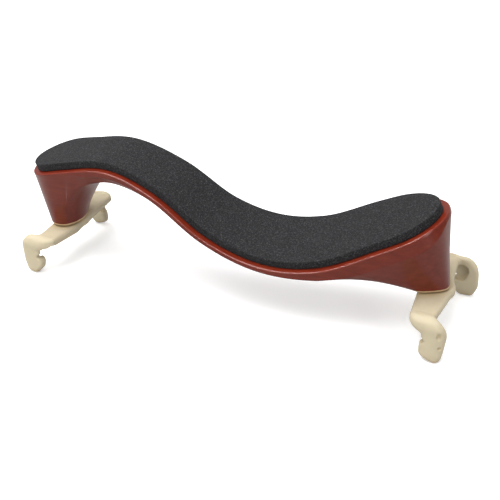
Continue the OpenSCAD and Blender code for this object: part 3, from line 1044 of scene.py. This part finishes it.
# Area lights: place from the middle of the object and size in metres, power in watts, and whether
# the light shows in reflections only
LIGHTS = {
    "key": ((-0.15, -0.12, 0.75), (0.7, 0.5), 7.2, False),
    "fill": ((0.75, -0.45, 0.25), (0.25, 0.5), 1.7, False),
    "front": ((-0.60, -0.90, 0.35), (0.8, 0.6), 4.5, False),
    "edge": ((-0.20, -0.35, 0.75), (1.6, 0.04), 16, True),
}
# Camera: point looked at and distance in mm, direction in degrees, lens and sensor in mm
AIM = (5.3, 0.5, 20.9)
AZIMUTH, ELEVATION, ROLL = 23.0, 32.1, -1.9
DISTANCE = 389
LENS, SENSOR = 54, 36


def area_light(name, middle, offset, size, power, gloss_only):
    data = bpy.data.lights.new(name, "AREA")
    data.shape = "RECTANGLE"
    data.size, data.size_y = size
    data.energy = power
    light = bpy.data.objects.new(name, data)
    light.visible_diffuse = not gloss_only
    bpy.context.scene.collection.objects.link(light)
    light.location = middle + Vector(offset)
    light.rotation_mode = "QUATERNION"
    light.rotation_quaternion = (-Vector(offset)).to_track_quat("-Z", "Y")


def light_from_above(world):
    """A white backdrop for the camera; for the object, a sky that is bright above and dim at the sides."""
    nodes, links = world.node_tree.nodes, world.node_tree.links
    place = nodes.new("ShaderNodeTexCoord")
    split = nodes.new("ShaderNodeSeparateXYZ")
    links.new(place.outputs["Generated"], split.inputs["Vector"])
    height = to_range(nodes, links, split.outputs["Z"], 0.0, 0.8, *SKY)
    path = nodes.new("ShaderNodeLightPath")
    backdrop = nodes.new("ShaderNodeMix")
    links.new(path.outputs["Is Camera Ray"], backdrop.inputs["Factor"])
    links.new(height, backdrop.inputs["A"])
    backdrop.inputs["B"].default_value = 1.0
    links.new(backdrop.outputs["Result"], nodes["Background"].inputs["Strength"])
    nodes["Background"].inputs["Color"].default_value = (1, 1, 1, 1)


def white_to_camera(nodes, links, shader):
    """Lifts a surface for the camera, and dims it for the object so that it throws little light back up."""
    seen = nodes.new("ShaderNodeLightPath").outputs["Is Camera Ray"]
    color = shader.inputs["Base Color"].links[0].from_socket
    links.new(mix(nodes, links, seen, (*BOUNCE, 1), color), shader.inputs["Base Color"])
    links.new(color, shader.inputs["Emission Color"])
    links.new(to_range(nodes, links, seen, 0, 1, 0, GLOW), shader.inputs["Emission Strength"])


def paper():
    material, nodes, links, shader = new_material("paper")
    fibre = noise(nodes, links, object_vector(nodes, links), 300, 4)
    links.new(ramp(nodes, links, fibre, PAPER_TONES), shader.inputs["Base Color"])
    shader.inputs["Roughness"].default_value = 0.8
    white_to_camera(nodes, links, shader)
    return material


def build_floor():
    h = FLOOR_HALF
    mesh = bpy.data.meshes.new("floor")
    mesh.from_pydata([(-h, -h, 0), (h, -h, 0), (h, h, 0), (-h, h, 0)], [], [(0, 1, 2, 3)])
    mesh.materials.append(paper())
    floor = bpy.data.objects.new("floor", mesh)
    bpy.context.scene.collection.objects.link(floor)
    floor.location.z = cad_low.z


def build_light():
    scene = bpy.context.scene
    scene.world = bpy.data.worlds.new("studio")
    scene.world.use_nodes = True
    light_from_above(scene.world)
    scene.view_settings.view_transform = "Standard"
    middle = (cad_low + cad_high) / 2
    for name, settings in LIGHTS.items():
        area_light(name, middle, *settings)


def build_camera():
    a, e, r = (math.radians(v) for v in (AZIMUTH, ELEVATION, ROLL))
    back = Vector((math.sin(a) * math.cos(e), -math.cos(a) * math.cos(e), math.sin(e)))
    level = Vector((math.cos(a), math.sin(a), 0))
    upright = level.cross(-back)
    right = level * math.cos(r) + upright * math.sin(r)
    up = -level * math.sin(r) + upright * math.cos(r)
    data = bpy.data.cameras.new("camera")
    data.lens, data.sensor_width = LENS, SENSOR
    data.clip_start, data.clip_end = 0.01, 20
    camera = bpy.data.objects.new("camera", data)
    bpy.context.scene.collection.objects.link(camera)
    matrix = Matrix((right, up, back)).transposed().to_4x4()
    matrix.translation = (Vector(AIM) + back * DISTANCE) * MM
    camera.matrix_world = matrix
    bpy.context.scene.camera = camera


build_bridge(lacquered_maple())
build_pad(foam())
build_metal(metal("steel", STEEL, 0.28), metal("brass", BRASS, 0.3))
build_feet(moulded("ivory_plastic", IVORY, IVORY_PAINTED_SHADE, 0.42, 1800, 0.12),
           moulded("cream_rubber", CREAM, CREAM_PAINTED_SHADE, 0.50, 2400, 0.10))
build_floor()
build_light()
build_camera()
